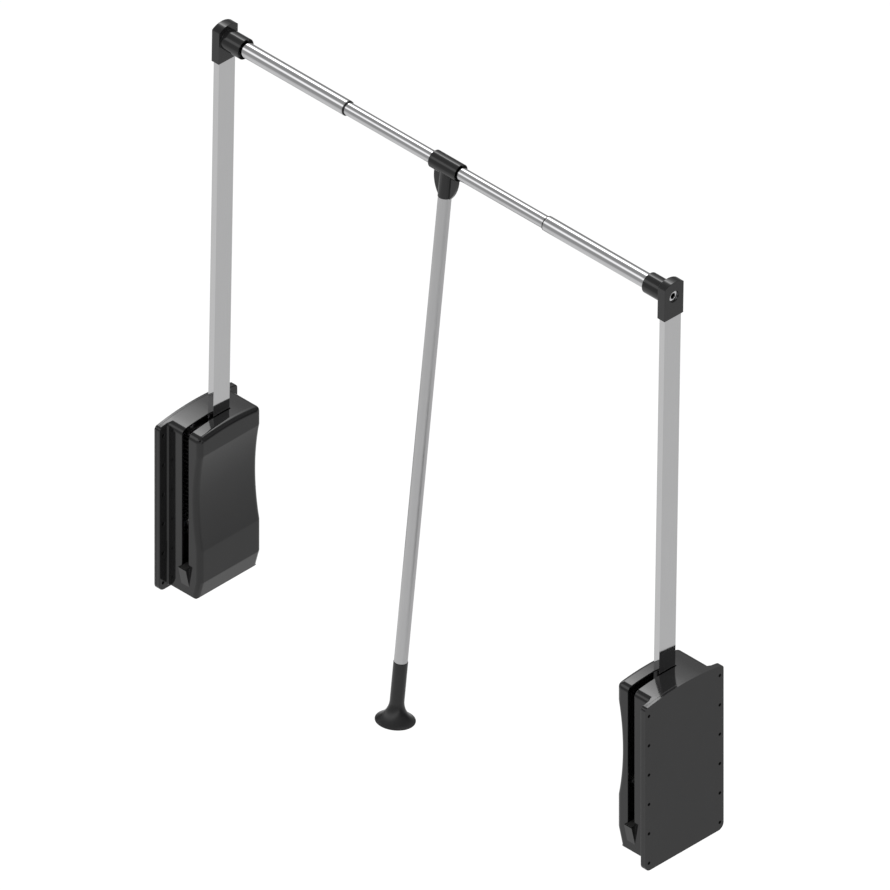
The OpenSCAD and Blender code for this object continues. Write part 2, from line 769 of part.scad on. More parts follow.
// Bell of the hand grip: an arc that leaves the neck's side and widens to the rim
module bell(neck_r, rim_r, low, rim_z, top) {
    steps = 18;
    spread = rim_r - neck_r;
    bell_r = (spread * spread + flare_h * flare_h) / (2 * spread);
    turn = 2 * atan(spread / flare_h);
    rotate_extrude() polygon(concat(
        [[0, low], [rim_r, low]],
        [
            for (i = [steps : -1 : 0]) [
                neck_r + bell_r * (1 - cos(turn * i / steps)),
                rim_z + flare_h - bell_r * sin(turn * i / steps)
            ]
        ],
        [[neck_r, top], [0, top]]
    ));
}

module hand_grip() color(black_plastic) in_rod() translate([0, 0, -rod_reach]) difference() {
    union() {
        bell(neck_d / 2, grip_rim_d / 2, 0, rim_t, grip_len);
        translate([0, 0, grip_len - cut]) cylinder(h = spigot_len + cut, d = spigot_d);
    }
    bell(grip_bore / 2, grip_rim_d / 2 - grip_wall, -cut, rim_t - grip_wall, grip_len + spigot_len + cut);
}

on_side("left") back_plate();  // left_back_plate
on_side("left") cover();  // left_cover
on_side("left") bracket();  // left_bracket
on_side("left") frame_screws();  // left_frame_screws
on_side("left") axle();  // left_axle
on_side("left") axle_ring();  // left_axle_ring
on_side("left") axle_spacer();  // left_axle_spacer
on_side("left") pivot_bush();  // left_pivot_bush
on_side("left") arm_foot();  // left_arm_foot
on_side("left") crank();  // left_crank
on_side("left") crank_sleeve();  // left_crank_sleeve
on_side("left") foot_screws();  // left_foot_screws
on_side("left") arm_tube();  // left_arm_tube
on_side("left") yoke();  // left_yoke
on_side("left") lift_spring();  // left_lift_spring
on_side("left") spring_anchor();  // left_spring_anchor
on_side("left") damper_cylinder();  // left_damper_cylinder
on_side("left") damper_rod();  // left_damper_rod
on_side("left") damper_nut();  // left_damper_nut
on_side("left") rest_buffer();  // left_rest_buffer
on_side("left") lower_buffer();  // left_lower_buffer
on_side("left") arm_cap();  // left_arm_cap
on_side("left") rail_bolt();  // left_rail_bolt
on_side("left") rail_plug();  // left_rail_plug
on_side("left") outer_tube();  // left_outer_tube
on_side("left") tube_bush();  // left_tube_bush
on_side("right") back_plate();  // right_back_plate
on_side("right") cover();  // right_cover
on_side("right") bracket();  // right_bracket
on_side("right") frame_screws();  // right_frame_screws
on_side("right") axle();  // right_axle
on_side("right") axle_ring();  // right_axle_ring
on_side("right") axle_spacer();  // right_axle_spacer
on_side("right") pivot_bush();  // right_pivot_bush
on_side("right") arm_foot();  // right_arm_foot
on_side("right") crank();  // right_crank
on_side("right") crank_sleeve();  // right_crank_sleeve
on_side("right") foot_screws();  // right_foot_screws
on_side("right") arm_tube();  // right_arm_tube
on_side("right") yoke();  // right_yoke
on_side("right") lift_spring();  // right_lift_spring
on_side("right") spring_anchor();  // right_spring_anchor
on_side("right") damper_cylinder();  // right_damper_cylinder
on_side("right") damper_rod();  // right_damper_rod
on_side("right") damper_nut();  // right_damper_nut
on_side("right") rest_buffer();  // right_rest_buffer
on_side("right") lower_buffer();  // right_lower_buffer
on_side("right") arm_cap();  // right_arm_cap
on_side("right") rail_bolt();  // right_rail_bolt
on_side("right") rail_plug();  // right_rail_plug
on_side("right") outer_tube();  // right_outer_tube
on_side("right") tube_bush();  // right_tube_bush
inner_tube();
rod_tee();
pull_rod();
hand_grip();
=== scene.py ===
import json
import math
import bmesh
import bpy
from mathutils import Matrix, Vector


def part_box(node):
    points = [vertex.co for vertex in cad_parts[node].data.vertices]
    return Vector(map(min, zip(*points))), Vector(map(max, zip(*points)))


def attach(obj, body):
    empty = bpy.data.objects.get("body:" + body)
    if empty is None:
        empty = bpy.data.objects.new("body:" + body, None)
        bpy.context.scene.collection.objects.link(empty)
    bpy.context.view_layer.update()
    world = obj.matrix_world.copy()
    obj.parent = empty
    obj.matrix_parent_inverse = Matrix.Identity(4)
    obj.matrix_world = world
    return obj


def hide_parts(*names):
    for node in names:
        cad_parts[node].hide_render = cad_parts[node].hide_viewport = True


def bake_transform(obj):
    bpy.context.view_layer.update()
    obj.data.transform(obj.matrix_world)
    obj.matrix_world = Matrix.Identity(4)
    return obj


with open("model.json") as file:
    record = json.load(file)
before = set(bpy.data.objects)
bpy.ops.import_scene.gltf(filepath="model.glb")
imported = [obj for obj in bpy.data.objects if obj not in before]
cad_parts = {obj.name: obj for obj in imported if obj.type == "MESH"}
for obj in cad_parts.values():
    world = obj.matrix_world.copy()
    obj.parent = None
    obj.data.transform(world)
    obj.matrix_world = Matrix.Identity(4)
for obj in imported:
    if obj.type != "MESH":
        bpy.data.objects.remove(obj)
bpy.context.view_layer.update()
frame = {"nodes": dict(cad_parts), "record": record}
mm = 0.001
sides = ("left", "right")
print("frame: %d CAD nodes" % len(frame["nodes"]))

# Places that the frame gives, in millimetres
def middleOf(node):
    low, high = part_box(node)
    return Vector((0, (low.y + high.y) / 2 / mm, (low.z + high.z) / 2 / mm))


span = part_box("right_back_plate")[1].x / mm
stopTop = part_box("left_lower_buffer")[1].z / mm
pivot = middleOf("left_axle")
rail = middleOf("inner_tube")
leanBack = math.atan2(rail.y - pivot.y, rail.z - pivot.z)
armReach = math.hypot(rail.y - pivot.y, rail.z - pivot.z)
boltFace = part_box("left_rail_bolt")[0].x / mm

armPlace = Matrix.Translation(pivot) @ Matrix.Rotation(-leanBack, 4, "X")
railPlace = armPlace @ Matrix.Translation((0, 0, armReach))


# Mesh helpers: every mesh is worked in millimetres and ends in metres, in its place

sameSpot = 1e-4


def newObject(name, data):
    made = bpy.data.objects.new(name, data)
    bpy.context.scene.collection.objects.link(made)
    return made


def fromBmesh(name, bm, place=None):
    bmesh.ops.remove_doubles(bm, verts=bm.verts, dist=sameSpot)
    if place:
        bmesh.ops.transform(bm, matrix=place, verts=bm.verts)
    bmesh.ops.recalc_face_normals(bm, faces=bm.faces)
    mesh = bpy.data.meshes.new(name)
    bm.to_mesh(mesh)
    bm.free()
    return newObject(name, mesh)


def settle(piece):
    graph = bpy.context.evaluated_depsgraph_get()
    mesh = bpy.data.meshes.new_from_object(piece.evaluated_get(graph))
    piece.modifiers.clear()
    piece.data = mesh
    return piece


def addBevel(piece, width, segments=3, angle=40, weighted=False, clamp=True):
    bevel = piece.modifiers.new("bevel", "BEVEL")
    bevel.width = width
    bevel.segments = segments
    bevel.limit_method = "WEIGHT" if weighted else "ANGLE"
    bevel.angle_limit = math.radians(angle)
    bevel.use_clamp_overlap = clamp
    bevel.miter_outer = "MITER_ARC"
    return settle(piece)


def addBoolean(piece, other, operation):
    cut = piece.modifiers.new("boolean", "BOOLEAN")
    cut.operation = operation
    cut.solver = "EXACT"
    cut.object = other
    settle(piece)
    bpy.data.objects.remove(other)
    return piece


def weighNormals(piece):
    weigh = piece.modifiers.new("weigh", "WEIGHTED_NORMAL")
    weigh.keep_sharp = True
    weigh.weight = 80
    return settle(piece)


def finishNormals(piece, angle=32):
    mesh = piece.data
    mesh.polygons.foreach_set("use_smooth", [True] * len(mesh.polygons))
    mesh.set_sharp_from_angle(angle=math.radians(angle))
    return weighNormals(piece)


def toMetres(piece):
    piece.data.transform(Matrix.Scale(mm, 4))
    return piece


def mirrored(piece, name):
    copy = newObject(name, piece.data.copy())
    copy.data.transform(Matrix.Translation((span, 0, 0)) @ Matrix.Diagonal((-1 / mm, 1 / mm, 1 / mm, 1)))
    copy.data.flip_normals()
    return toMetres(weighNormals(copy))  # mirrored shading normals come out turned, so they are made again


def prism(outline, low, high):
    bm = bmesh.new()
    ends = [[bm.verts.new((x, y, z)) for y, z in outline] for x in (low, high)]
    bm.faces.new(ends[0])
    bm.faces.new(ends[1])
    for k in range(len(outline)):
        n = (k + 1) % len(outline)
        bm.faces.new((ends[0][k], ends[0][n], ends[1][n], ends[1][k]))
    return bm


def block(low, high):
    outline = [(low[1], low[2]), (high[1], low[2]), (high[1], high[2]), (low[1], high[2])]
    return prism(outline, low[0], high[0])


def lathe(profile, segments=96):
    # A closed outline of (distance along X, radius), turned round the X axis
    bm = bmesh.new()
    rings = []
    for k in range(segments):
        a = 2 * math.pi * k / segments
        rings.append([bm.verts.new((x, r * math.cos(a), r * math.sin(a))) for x, r in profile])
    for k in range(segments):
        here, there = rings[k], rings[(k + 1) % segments]
        for i in range(len(profile)):
            j = (i + 1) % len(profile)
            bm.faces.new((here[i], here[j], there[j], there[i]))
    bmesh.ops.remove_doubles(bm, verts=bm.verts, dist=sameSpot)
    return bm


def arc(centre, r, start, end, steps):
    turn = [math.radians(start + (end - start) * k / steps) for k in range(steps + 1)]
    return [(centre[0] + r * math.cos(a), centre[1] + r * math.sin(a)) for a in turn]


def tubeProfile(low, high, outer, inner, lip, steps=4):
    # Both ends of a tube, with rounded outer and inner lips
    return (
        arc((low + lip, outer - lip), lip, 180, 90, steps)
        + arc((high - lip, outer - lip), lip, 90, 0, steps)
        + arc((high - lip, inner + lip), lip, 0, -90, steps)
        + arc((low + lip, inner + lip), lip, -90, -180, steps)
    )


cadCopy = {"merge": 2e-3, "flatAngle": 0.6}  # millimetres and degrees


def softened(node, width):
    # A copy of a CAD node with every hard edge rounded
    bm = bmesh.new()
    bm.from_mesh(frame["nodes"][node].data)
    bmesh.ops.scale(bm, vec=(1 / mm,) * 3, verts=bm.verts)
    bmesh.ops.remove_doubles(bm, verts=bm.verts, dist=cadCopy["merge"])
    bmesh.ops.dissolve_limit(
        bm, angle_limit=math.radians(cadCopy["flatAngle"]), verts=bm.verts, edges=bm.edges)
    mesh = bpy.data.meshes.new(node + "_soft")
    bm.to_mesh(mesh)
    bm.free()
    piece = newObject(node + "_soft", mesh)
    addBevel(piece, width)
    return toMetres(finishNormals(piece))


# Finishes

class Wire:
    # A socket that adds Math nodes when it is used in an expression
    def __init__(self, look, socket):
        self.look = look
        self.socket = socket

    def __add__(self, other):
        return self.look.math("ADD", self, other)

    def __sub__(self, other):
        return self.look.math("SUBTRACT", self, other)

    def __rsub__(self, other):
        return self.look.math("SUBTRACT", other, self)

    def __mul__(self, other):
        return self.look.math("MULTIPLY", self, other)

    def __truediv__(self, other):
        return self.look.math("DIVIDE", self, other)

    def __pow__(self, other):
        return self.look.math("POWER", self, other)

    __radd__ = __add__
    __rmul__ = __mul__


class Look:
    def __init__(self, name, tree=None):
        self.material = None
        if tree is None:
            self.material = bpy.data.materials.new(name)
            self.material.use_nodes = True
            tree = self.material.node_tree
        self.tree = tree
        self.tree.nodes.clear()

    def node(self, kind, settings=None, inputs=None, output=0):
        made = self.tree.nodes.new(kind)
        for key, value in (settings or {}).items():
            if key == "ramp":
                steps = made.color_ramp.elements
                steps[0].position, steps[-1].position = value[0][0], value[-1][0]
                for place, grey in value[1:-1]:
                    steps.new(place)
                for step, (place, grey) in zip(steps, value):
                    step.color = (grey, grey, grey, 1)
            else:
                setattr(made, key, value)
        for key, value in (inputs or {}).items():
            socket = made.inputs[key]
            if isinstance(value, Wire):
                self.tree.links.new(value.socket, socket)
            else:
                socket.default_value = value
        return Wire(self, made.outputs[output]) if len(made.outputs) else None

    def math(self, operation, *values, clamp=False):
        settings = {"operation": operation, "use_clamp": clamp}
        return self.node("ShaderNodeMath", settings, dict(enumerate(values)))

    def place(self, scale=(1, 1, 1)):
        spot = self.node("ShaderNodeTexCoord", output="Object")
        return self.node("ShaderNodeMapping", None, {"Vector": spot, "Scale": scale})

    def axes(self, kind="Object"):
        # The three coordinates, each as a number
        spot = self.node("ShaderNodeTexCoord", output=kind)
        split = self.node("ShaderNodeSeparateXYZ", None, {0: spot}).socket.node
        return [Wire(self, socket) for socket in split.outputs]

    def noise(self, scale, detail=3, rough=0.5, where=None):
        where = where or self.place()
        return self.node("ShaderNodeTexNoise", None, {
            "Vector": where, "Scale": scale, "Detail": detail, "Roughness": rough})

    def tint(self, mask, first, second):
        first, second = (c if isinstance(c, Wire) else c + (1,) for c in (first, second))
        colours = {"Factor": mask, 6: first, 7: second}
        return self.node("ShaderNodeMix", {"data_type": "RGBA", "clamp_factor": True}, colours, 2)

    def bump(self, height, strength, distance):
        return self.node("ShaderNodeBump", None, {
            "Height": height, "Strength": strength, "Distance": distance})

    def surface(self, **inputs):
        names = {"colour": "Base Color", "roughness": "Roughness", "metallic": "Metallic",
                 "normal": "Normal", "ior": "IOR"}
        shader = self.node("ShaderNodeBsdfPrincipled", None, {names[k]: v for k, v in inputs.items()})
        self.node("ShaderNodeOutputMaterial", None, {"Surface": shader})
        return self.material


glossBlack = {"dark": 0.0095, "pale": 0.0135, "sheen": 0.07, "sheenSpan": 0.05, "grain": 1400, "lift": 0.012}


def mouldedPlastic(name, spec):
    look = Look(name)
    cloud = look.noise(scale=28, detail=4)
    grain = look.noise(scale=spec["grain"], detail=2, rough=0.6)
    smudge = look.noise(scale=9, detail=5, rough=0.62)
    dark, pale = spec["dark"], spec["pale"]
    roughness = smudge * spec["sheenSpan"] + spec["sheen"]
    if "satinBelow" in spec:
        # The hand grip, the only piece of this plastic that low, is rubbed to a satin face
        height = look.axes()[2]
        roughness = roughness + look.math("LESS_THAN", height, spec["satinBelow"]) * spec["satin"]
    return look.surface(
        colour=look.tint(cloud, (dark, dark, dark * 1.03), (pale, pale, pale * 1.03)),
        roughness=roughness,
        normal=look.bump(grain, spec["lift"], 0.0002),
        ior=1.5)


brightAluminium = {"low": 0.63, "high": 0.69, "sheen": 0.04, "sheenSpan": 0.05, "lift": 0.006}


def brushedMetal(name, spec):
    look = Look(name)
    lines = look.noise(scale=1, rough=0.6, where=look.place((900, 900, 14)))  # fine across, long upwards
    cloud = look.noise(scale=22)
    low, high = spec["low"], spec["high"]
    share = 0.6
    mask = lines * share + cloud * (1 - share)
    return look.surface(
        colour=look.tint(mask, (low, low, low * 1.005), (high, high, high * 1.01)),
        metallic=1.0,
        roughness=lines * spec["sheenSpan"] + spec["sheen"],
        normal=look.bump(lines, spec["lift"], 0.0001))


polishedChrome = {"low": 0.64, "high": 0.70, "sheen": 0.045, "lift": 0.01}
satinRod = {"low": 0.59, "high": 0.68, "sheen": 0.34, "sheenSpan": 0.1, "lift": 0.05}
zincPlate = {"low": 0.42, "high": 0.6, "sheen": 0.3, "lift": 0.05}
boltPlate = {"low": 0.72, "high": 0.82, "sheen": 0.16, "lift": 0.02, "socketR": 4.75, "under": 0.3}


def platedMetal(name, spec, scale=420):
    look = Look(name)
    cloud = look.noise(scale=60, detail=4, rough=0.6)
    fine = look.noise(scale=scale, detail=2)
    low, high = spec["low"], spec["high"]
    colour = look.tint(cloud, (low, low, low * 1.01), (high, high, high * 1.02))
    if "socketR" in spec:
        # Painted shade: near black colour in the socket of the rail bolt, round the rail's axis and under the
        # head's face, standing in for the shade in that recess
        x, y, z = look.axes()
        off = look.math("SQRT", (y - rail.y * mm) ** 2 + (z - rail.z * mm) ** 2)
        deep = look.math("ABSOLUTE", x - span / 2 * mm)
        inside = look.math("LESS_THAN", off, spec["socketR"] * mm)
        sunk = look.math("LESS_THAN", deep, (span / 2 - boltFace - spec["under"]) * mm)
        # painted shade: the socket's recess is coloured near black over the plated colour
        colour = look.tint(inside * sunk, colour, (0.012, 0.012, 0.012))
    return look.surface(
        colour=colour,
        metallic=1.0,
        roughness=fine * 0.06 + spec["sheen"],
        normal=look.bump(fine, spec["lift"], 0.0001))


def softRubber(name):
    look = Look(name)
    grain = look.noise(scale=1800, rough=0.7)
    cloud = look.noise(scale=80)
    return look.surface(
        colour=look.tint(cloud, (0.012, 0.012, 0.012), (0.022, 0.022, 0.021)),
        roughness=grain * 0.15 + 0.68,
        normal=look.bump(grain, 0.25, 0.0002))


def paleNylon(name):
    look = Look(name)
    cloud = look.noise(scale=140, detail=4)
    fine = look.noise(scale=900, detail=2)
    return look.surface(
        colour=look.tint(cloud, (0.58, 0.56, 0.5), (0.68, 0.66, 0.6)),
        roughness=fine * 0.1 + 0.38,
        normal=look.bump(fine, 0.06, 0.0002))


powderCoat = {"dark": 0.0075, "pale": 0.012, "sheen": 0.3}
springCoat = {"dark": 0.013, "pale": 0.019, "sheen": 0.55}


def powderBlack(name, spec):
    look = Look(name)
    peel = look.noise(scale=520, rough=0.55)
    cloud = look.noise(scale=35)
    return look.surface(
        colour=look.tint(cloud, (spec["dark"],) * 3, (spec["pale"],) * 3),
        roughness=peel * 0.1 + spec["sheen"],
        normal=look.bump(peel, 0.05, 0.0003),
        ior=1.45)


finishes = {
    "casing_plastic": mouldedPlastic("casingPlastic", glossBlack),
    "cap_plastic": mouldedPlastic("capPlastic", dict(
        glossBlack, dark=0.0105, pale=0.0145, sheen=0.05, satinBelow=0.2, satin=0.22)),
    "black_steel": powderBlack("blackSteel", powderCoat),
    "arm_aluminium": brushedMetal("armAluminium", brightAluminium),
    "rail_chrome": platedMetal("railChrome", polishedChrome, 260),
    "rod_steel": brushedMetal("rodSteel", satinRod),
    "piston_chrome": platedMetal("pistonChrome", dict(polishedChrome, low=0.6), 300),
    "bolt_steel": platedMetal("boltSteel", boltPlate),
    "zinc_steel": platedMetal("zincSteel", zincPlate),
    "spring_steel": powderBlack("springCoat", springCoat),
    "rubber": softRubber("bufferRubber"),
    "nylon": paleNylon("bushNylon"),
}
slotOf = {row["node"]: row["material_slot"] for row in frame["record"]["subparts"]}
bodyOf = {node: body for body, nodes in frame["record"]["behaviour"]["bodies"].items() for node in nodes}
print("finishes: %d" % len(finishes))


def dress(piece, node):
    # Puts a finished piece in the place of its CAD node
    piece.name = node + "_visual"
    piece.data.name = piece.name
    piece.data.materials.clear()
    piece.data.materials.append(finishes[slotOf[node]])
    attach(piece, bodyOf[node])
    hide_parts(node)
    return piece


def dressPair(piece, node):
    dress(piece, "left_" + node)
    return dress(mirrored(piece, "right_" + node), "right_" + node)


# Covers

casing = {
    "plateW": 150, "plateLow": -134, "archTop": 143, "archR": 380, "lowR": 10, "highR": 6,
    "plateT": 4, "flangeU": 9.5, "width": 118, "low": -127.5, "depth": 71.3, "wall": 2.8,
    "waistDepth": 7.8, "waistLow": -47, "waistHigh": 110, "chamferH": 28.5, "chamferIn": 7.8,
    "slotU": 43, "slotW": 12.8, "slotBack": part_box("left_rest_buffer")[0].y / mm + 1.2,
    "holeR": 2.5, "holeSpan": 135.4, "holePitch": 48.6, "holeRows": 6, "drillU": 7, "drillL": 20,
    "edgeR": 8, "coveR": 3, "rimR": 1.5, "edgeSoft": 0.4, "smoothAngle": 10.6, "archStep": 4,
    "wedgeW": 15, "wedgeOut": 6.6, "wedgeH": 30, "wedgeDeep": 11, "lip": 1.5,
    "padProud": 0.5, "padT": 3, "padW": 11, "padDeep": 30, "pocketGap": 0.1,
}


def archZ(y, drop=0):
    c = casing
    return c["archTop"] - c["archR"] + math.sqrt((c["archR"] - drop) ** 2 - y * y)


def sectionXZ(inset):
    # The raised face in the plane of X and Z, from its chamfer to the top of its waist
    c = casing
    slope = math.atan(c["chamferIn"] / c["chamferH"])
    half = (c["waistHigh"] - c["waistLow"]) / 2
    ringR = (half * half + c["waistDepth"] ** 2) / (2 * c["waistDepth"])
    middle = (c["waistHigh"] + c["waistLow"]) / 2
    centre = c["depth"] + ringR - c["waistDepth"]
    face = c["depth"] - inset
    low = c["low"] + inset
    knee = c["low"] + c["chamferH"]
    shift = inset / math.cos(slope)
    points = [(c["depth"] - shift - (knee - low) * math.tan(slope), low)]
    points.append((face, knee + (shift - inset) / math.tan(slope)))
    justShort = 0.9999
    reach = math.asin(half / ringR) * justShort
    steps = 36
    for k in range(steps + 1):
        a = -reach + 2 * reach * k / steps
        points.append((centre - (ringR + inset) * math.cos(a), middle + (ringR + inset) * math.sin(a)))
    if inset:
        points = points[:2] + [p for p in points[2:] if p[0] < face]
    return points


def casingFaces(bm, inset, base, flange):
    # Faces of the raised casing, closed at the base where there is no flange
    c = casing
    half = c["width"] / 2 - inset
    low = c["low"] + inset
    face = c["depth"] - inset
    profile = sectionXZ(inset)
    steps = 28
    calm = half - c["edgeR"] - 1
    ys = [-half] + [-calm + 2 * calm * k / steps for k in range(steps + 1)] + [half]
    top = [(y, archZ(y, inset)) for y in ys]

    def quadStrip(first, second):
        for k in range(len(first) - 1):
            bm.faces.new([bm.verts.new(p) for p in (first[k], first[k + 1], second[k + 1], second[k])])

    edge = [(x, -half, z) for x, z in profile]
    quadStrip(edge, [(x, half, z) for x, z in profile])
    lastX, lastZ = profile[-1]
    upper = [(lastX, -half, lastZ), (lastX, half, lastZ)] + [(face, y, z) for y, z in reversed(top)]
    bm.faces.new([bm.verts.new(p) for p in upper])
    depths = (face, base, c["plateT"]) if flange else (face, base)
    for near, far in zip(depths, depths[1:]):
        quadStrip([(near, y, z) for y, z in top], [(far, y, z) for y, z in top])
    toe = profile[0][0]
    quadStrip([(base, -half, low), (toe, -half, low)], [(base, half, low), (toe, half, low)])
    for side in (-1, 1):
        y = side * half
        ring = [(base, y, low)] + [(x, y, z) for x, z in profile]
        ring += [(face, y, archZ(y, inset)), (base, y, archZ(y, inset))]
        bm.faces.new([bm.verts.new(p) for p in ring])
    if not flange:
        ring = [(base, -half, low), (base, half, low)] + [(base, y, z) for y, z in reversed(top)]
        bm.faces.new([bm.verts.new(p) for p in ring])
    return top


def plateOutline(inner):
    # The wall plate's outline from the top of one side, down and round to the other
    c = casing
    half = c["plateW"] / 2
    cornerZ = archZ(half - c["highR"], c["highR"])
    turn = math.degrees(math.atan2(cornerZ - c["archTop"] + c["archR"], half - c["highR"]))
    high = arc((half - c["highR"], cornerZ), c["highR"], turn, 0, 8)
    low = arc((half - c["lowR"], c["plateLow"] + c["lowR"]), c["lowR"], 0, -90, 10)
    second = inner + c["archStep"]
    touch = high[0][0]
    arch = [(y, archZ(y)) for y in (inner, second, (second + touch) / 2)]
    one = arch + high + low
    return one + [(-y, z) for y, z in reversed(one)]


def makeCoverCage():
    # The cover's sharp cornered outside, with the radius of each edge as its bevel weight
    c = casing
    bm = bmesh.new()
    half = c["width"] / 2
    top = casingFaces(bm, 0, c["flangeU"], True)
    rim = plateOutline(half)
    for k in range(len(rim) - 1):
        corners = [(c["plateT"], *rim[k]), (c["plateT"], *rim[k + 1])]
        corners += [(c["flangeU"], *rim[k + 1]), (c["flangeU"], *rim[k])]
        bm.faces.new([bm.verts.new(p) for p in corners])
    lower = [(-half, c["low"]), (half, c["low"])]
    bm.faces.new([bm.verts.new((c["flangeU"], y, z)) for y, z in rim + lower])
    bm.faces.new([bm.verts.new((c["plateT"], y, z)) for y, z in rim + top[1:-1]])
    near = 0.01
    bmesh.ops.remove_doubles(bm, verts=bm.verts, dist=near / 10)
    bmesh.ops.recalc_face_normals(bm, faces=bm.faces)
    weight = bm.edges.layers.float.new("bevel_weight_edge")
    waistX = c["depth"] - c["waistDepth"]
    for edge in bm.edges:
        a, b = (v.co for v in edge.verts)
        mid = (a + b) / 2
        onSide = abs(abs(a.y) - half) < near and abs(abs(b.y) - half) < near
        level = abs(a.z - b.z) < near
        r = 0
        upright = onSide and min(a.x, b.x) > waistX - 1 and abs(a.z - b.z) > 10 * near
        shoulder = onSide and level and mid.z > 0 and abs(a.x - b.x) > c["edgeR"]
        brow = min(a.x, b.x) > c["depth"] - near and min(a.z, b.z) > archZ(half) - near
        if upright or shoulder or brow:
            r = c["edgeR"]
        elif abs(a.x - c["flangeU"]) < near and abs(b.x - c["flangeU"]) < near:
            under = abs(mid.z - c["low"]) < near and abs(mid.y) < 1
            r = c["coveR"] if under or (onSide and abs(a.z - b.z) > 1) else c["rimR"]
        elif max(a.z, b.z) < c["low"] + near and min(a.x, b.x) > c["flangeU"] - near:
            r = c["rimR"]
        edge[weight] = r / c["edgeR"]
    return fromBmesh("coverCage", bm)


def makeCover():
    c = casing
    cover = makeCoverCage()
    addBevel(cover, c["edgeR"], 10, weighted=True, clamp=False)
    bm = bmesh.new()
    casingFaces(bm, c["wall"], c["plateT"] / 2, False)
    addBoolean(cover, fromBmesh("cavity", bm), "DIFFERENCE")
    wedgeTop = stopTop - c["padProud"]
    u = c["slotU"]
    slot = block((u - c["slotW"] / 2, -c["plateW"], wedgeTop),
                 (u + c["slotW"] / 2, c["slotBack"], c["archTop"] * 2))
    addBoolean(cover, fromBmesh("slot", slot), "DIFFERENCE")
    front = -c["width"] / 2
    wedge = prism([
        (front - c["wedgeOut"], wedgeTop), (front, wedgeTop - c["wedgeH"]),
        (front + c["wall"], wedgeTop - c["wedgeH"]), (front + c["wedgeDeep"], wedgeTop - 2 * c["padT"]),
        (front + c["wedgeDeep"], wedgeTop)], u - c["wedgeW"] / 2, u + c["wedgeW"] / 2)
    addBoolean(cover, fromBmesh("wedge", wedge), "UNION")
    gap = c["pocketGap"]
    pocket = block((u - c["padW"] / 2 - gap, front - c["wedgeOut"] + c["lip"], stopTop - c["padT"]),
                   (u + c["padW"] / 2 + gap, front + c["padDeep"], stopTop + 1))
    addBoolean(cover, fromBmesh("pocket", pocket), "DIFFERENCE")
    drills = bmesh.new()
    for y in (-c["holeSpan"] / 2, c["holeSpan"] / 2):
        for row in range(c["holeRows"]):
            spot = (c["drillU"], y, (row - (c["holeRows"] - 1) / 2) * c["holePitch"])
            place = Matrix.Translation(spot) @ Matrix.Rotation(math.pi / 2, 4, "Y")
            bmesh.ops.create_cone(drills, cap_ends=True, segments=40, radius1=c["holeR"],
                                  radius2=c["holeR"], depth=c["drillL"], matrix=place)
    addBoolean(cover, fromBmesh("drills", drills), "DIFFERENCE")
    addBevel(cover, c["edgeSoft"], 2, 50, clamp=False)
    return toMetres(finishNormals(cover, c["smoothAngle"]))


dressPair(makeCover(), "cover")
print("covers made")

# Turned pieces of the rail, the rod and the grip

tubes = {"lip": 0.35, "segments": 128, "outerR": 11.25, "outerBore": 10.25, "innerR": 9.5, "innerBore": 8.3}


def makeTube(low, high, outer, inner, place):
    profile = tubeProfile(low, high, outer, inner, tubes["lip"])
    return toMetres(finishNormals(fromBmesh("tube", lathe(profile, tubes["segments"]), place)))


low, high = (corner.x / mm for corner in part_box("left_outer_tube"))
dressPair(makeTube(low, high, tubes["outerR"], tubes["outerBore"], railPlace), "outer_tube")
low, high = (corner.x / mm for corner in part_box("inner_tube"))
dress(makeTube(low, high, tubes["innerR"], tubes["innerBore"], railPlace), "inner_tube")
print("rail made")

rod = {"reach": 873, "lean": 6.6, "drop": 47, "gripLen": 93, "outer": 9.5, "bore": 8.5}
rodPlace = Matrix.Translation((span / 2, rail.y, rail.z))
rodPlace = rodPlace @ Matrix.Rotation(-math.radians(rod["lean"]), 4, "X")
rodPlace = rodPlace @ Matrix.Rotation(math.pi / 2, 4, "Y")
dress(makeTube(rod["drop"], rod["reach"] - rod["gripLen"], rod["outer"], rod["bore"], rodPlace), "pull_rod")

grip = {"neckR": 10.1, "rimR": 28, "rimT": 1.5, "flare": 30, "wall": 2.4, "bore": 6, "spigotR": 8.45,
        "spigot": 25, "rimSoft": 0.6, "neckSoft": 0.3, "tip": 1, "mouthSoft": 0.1, "segments": 128}


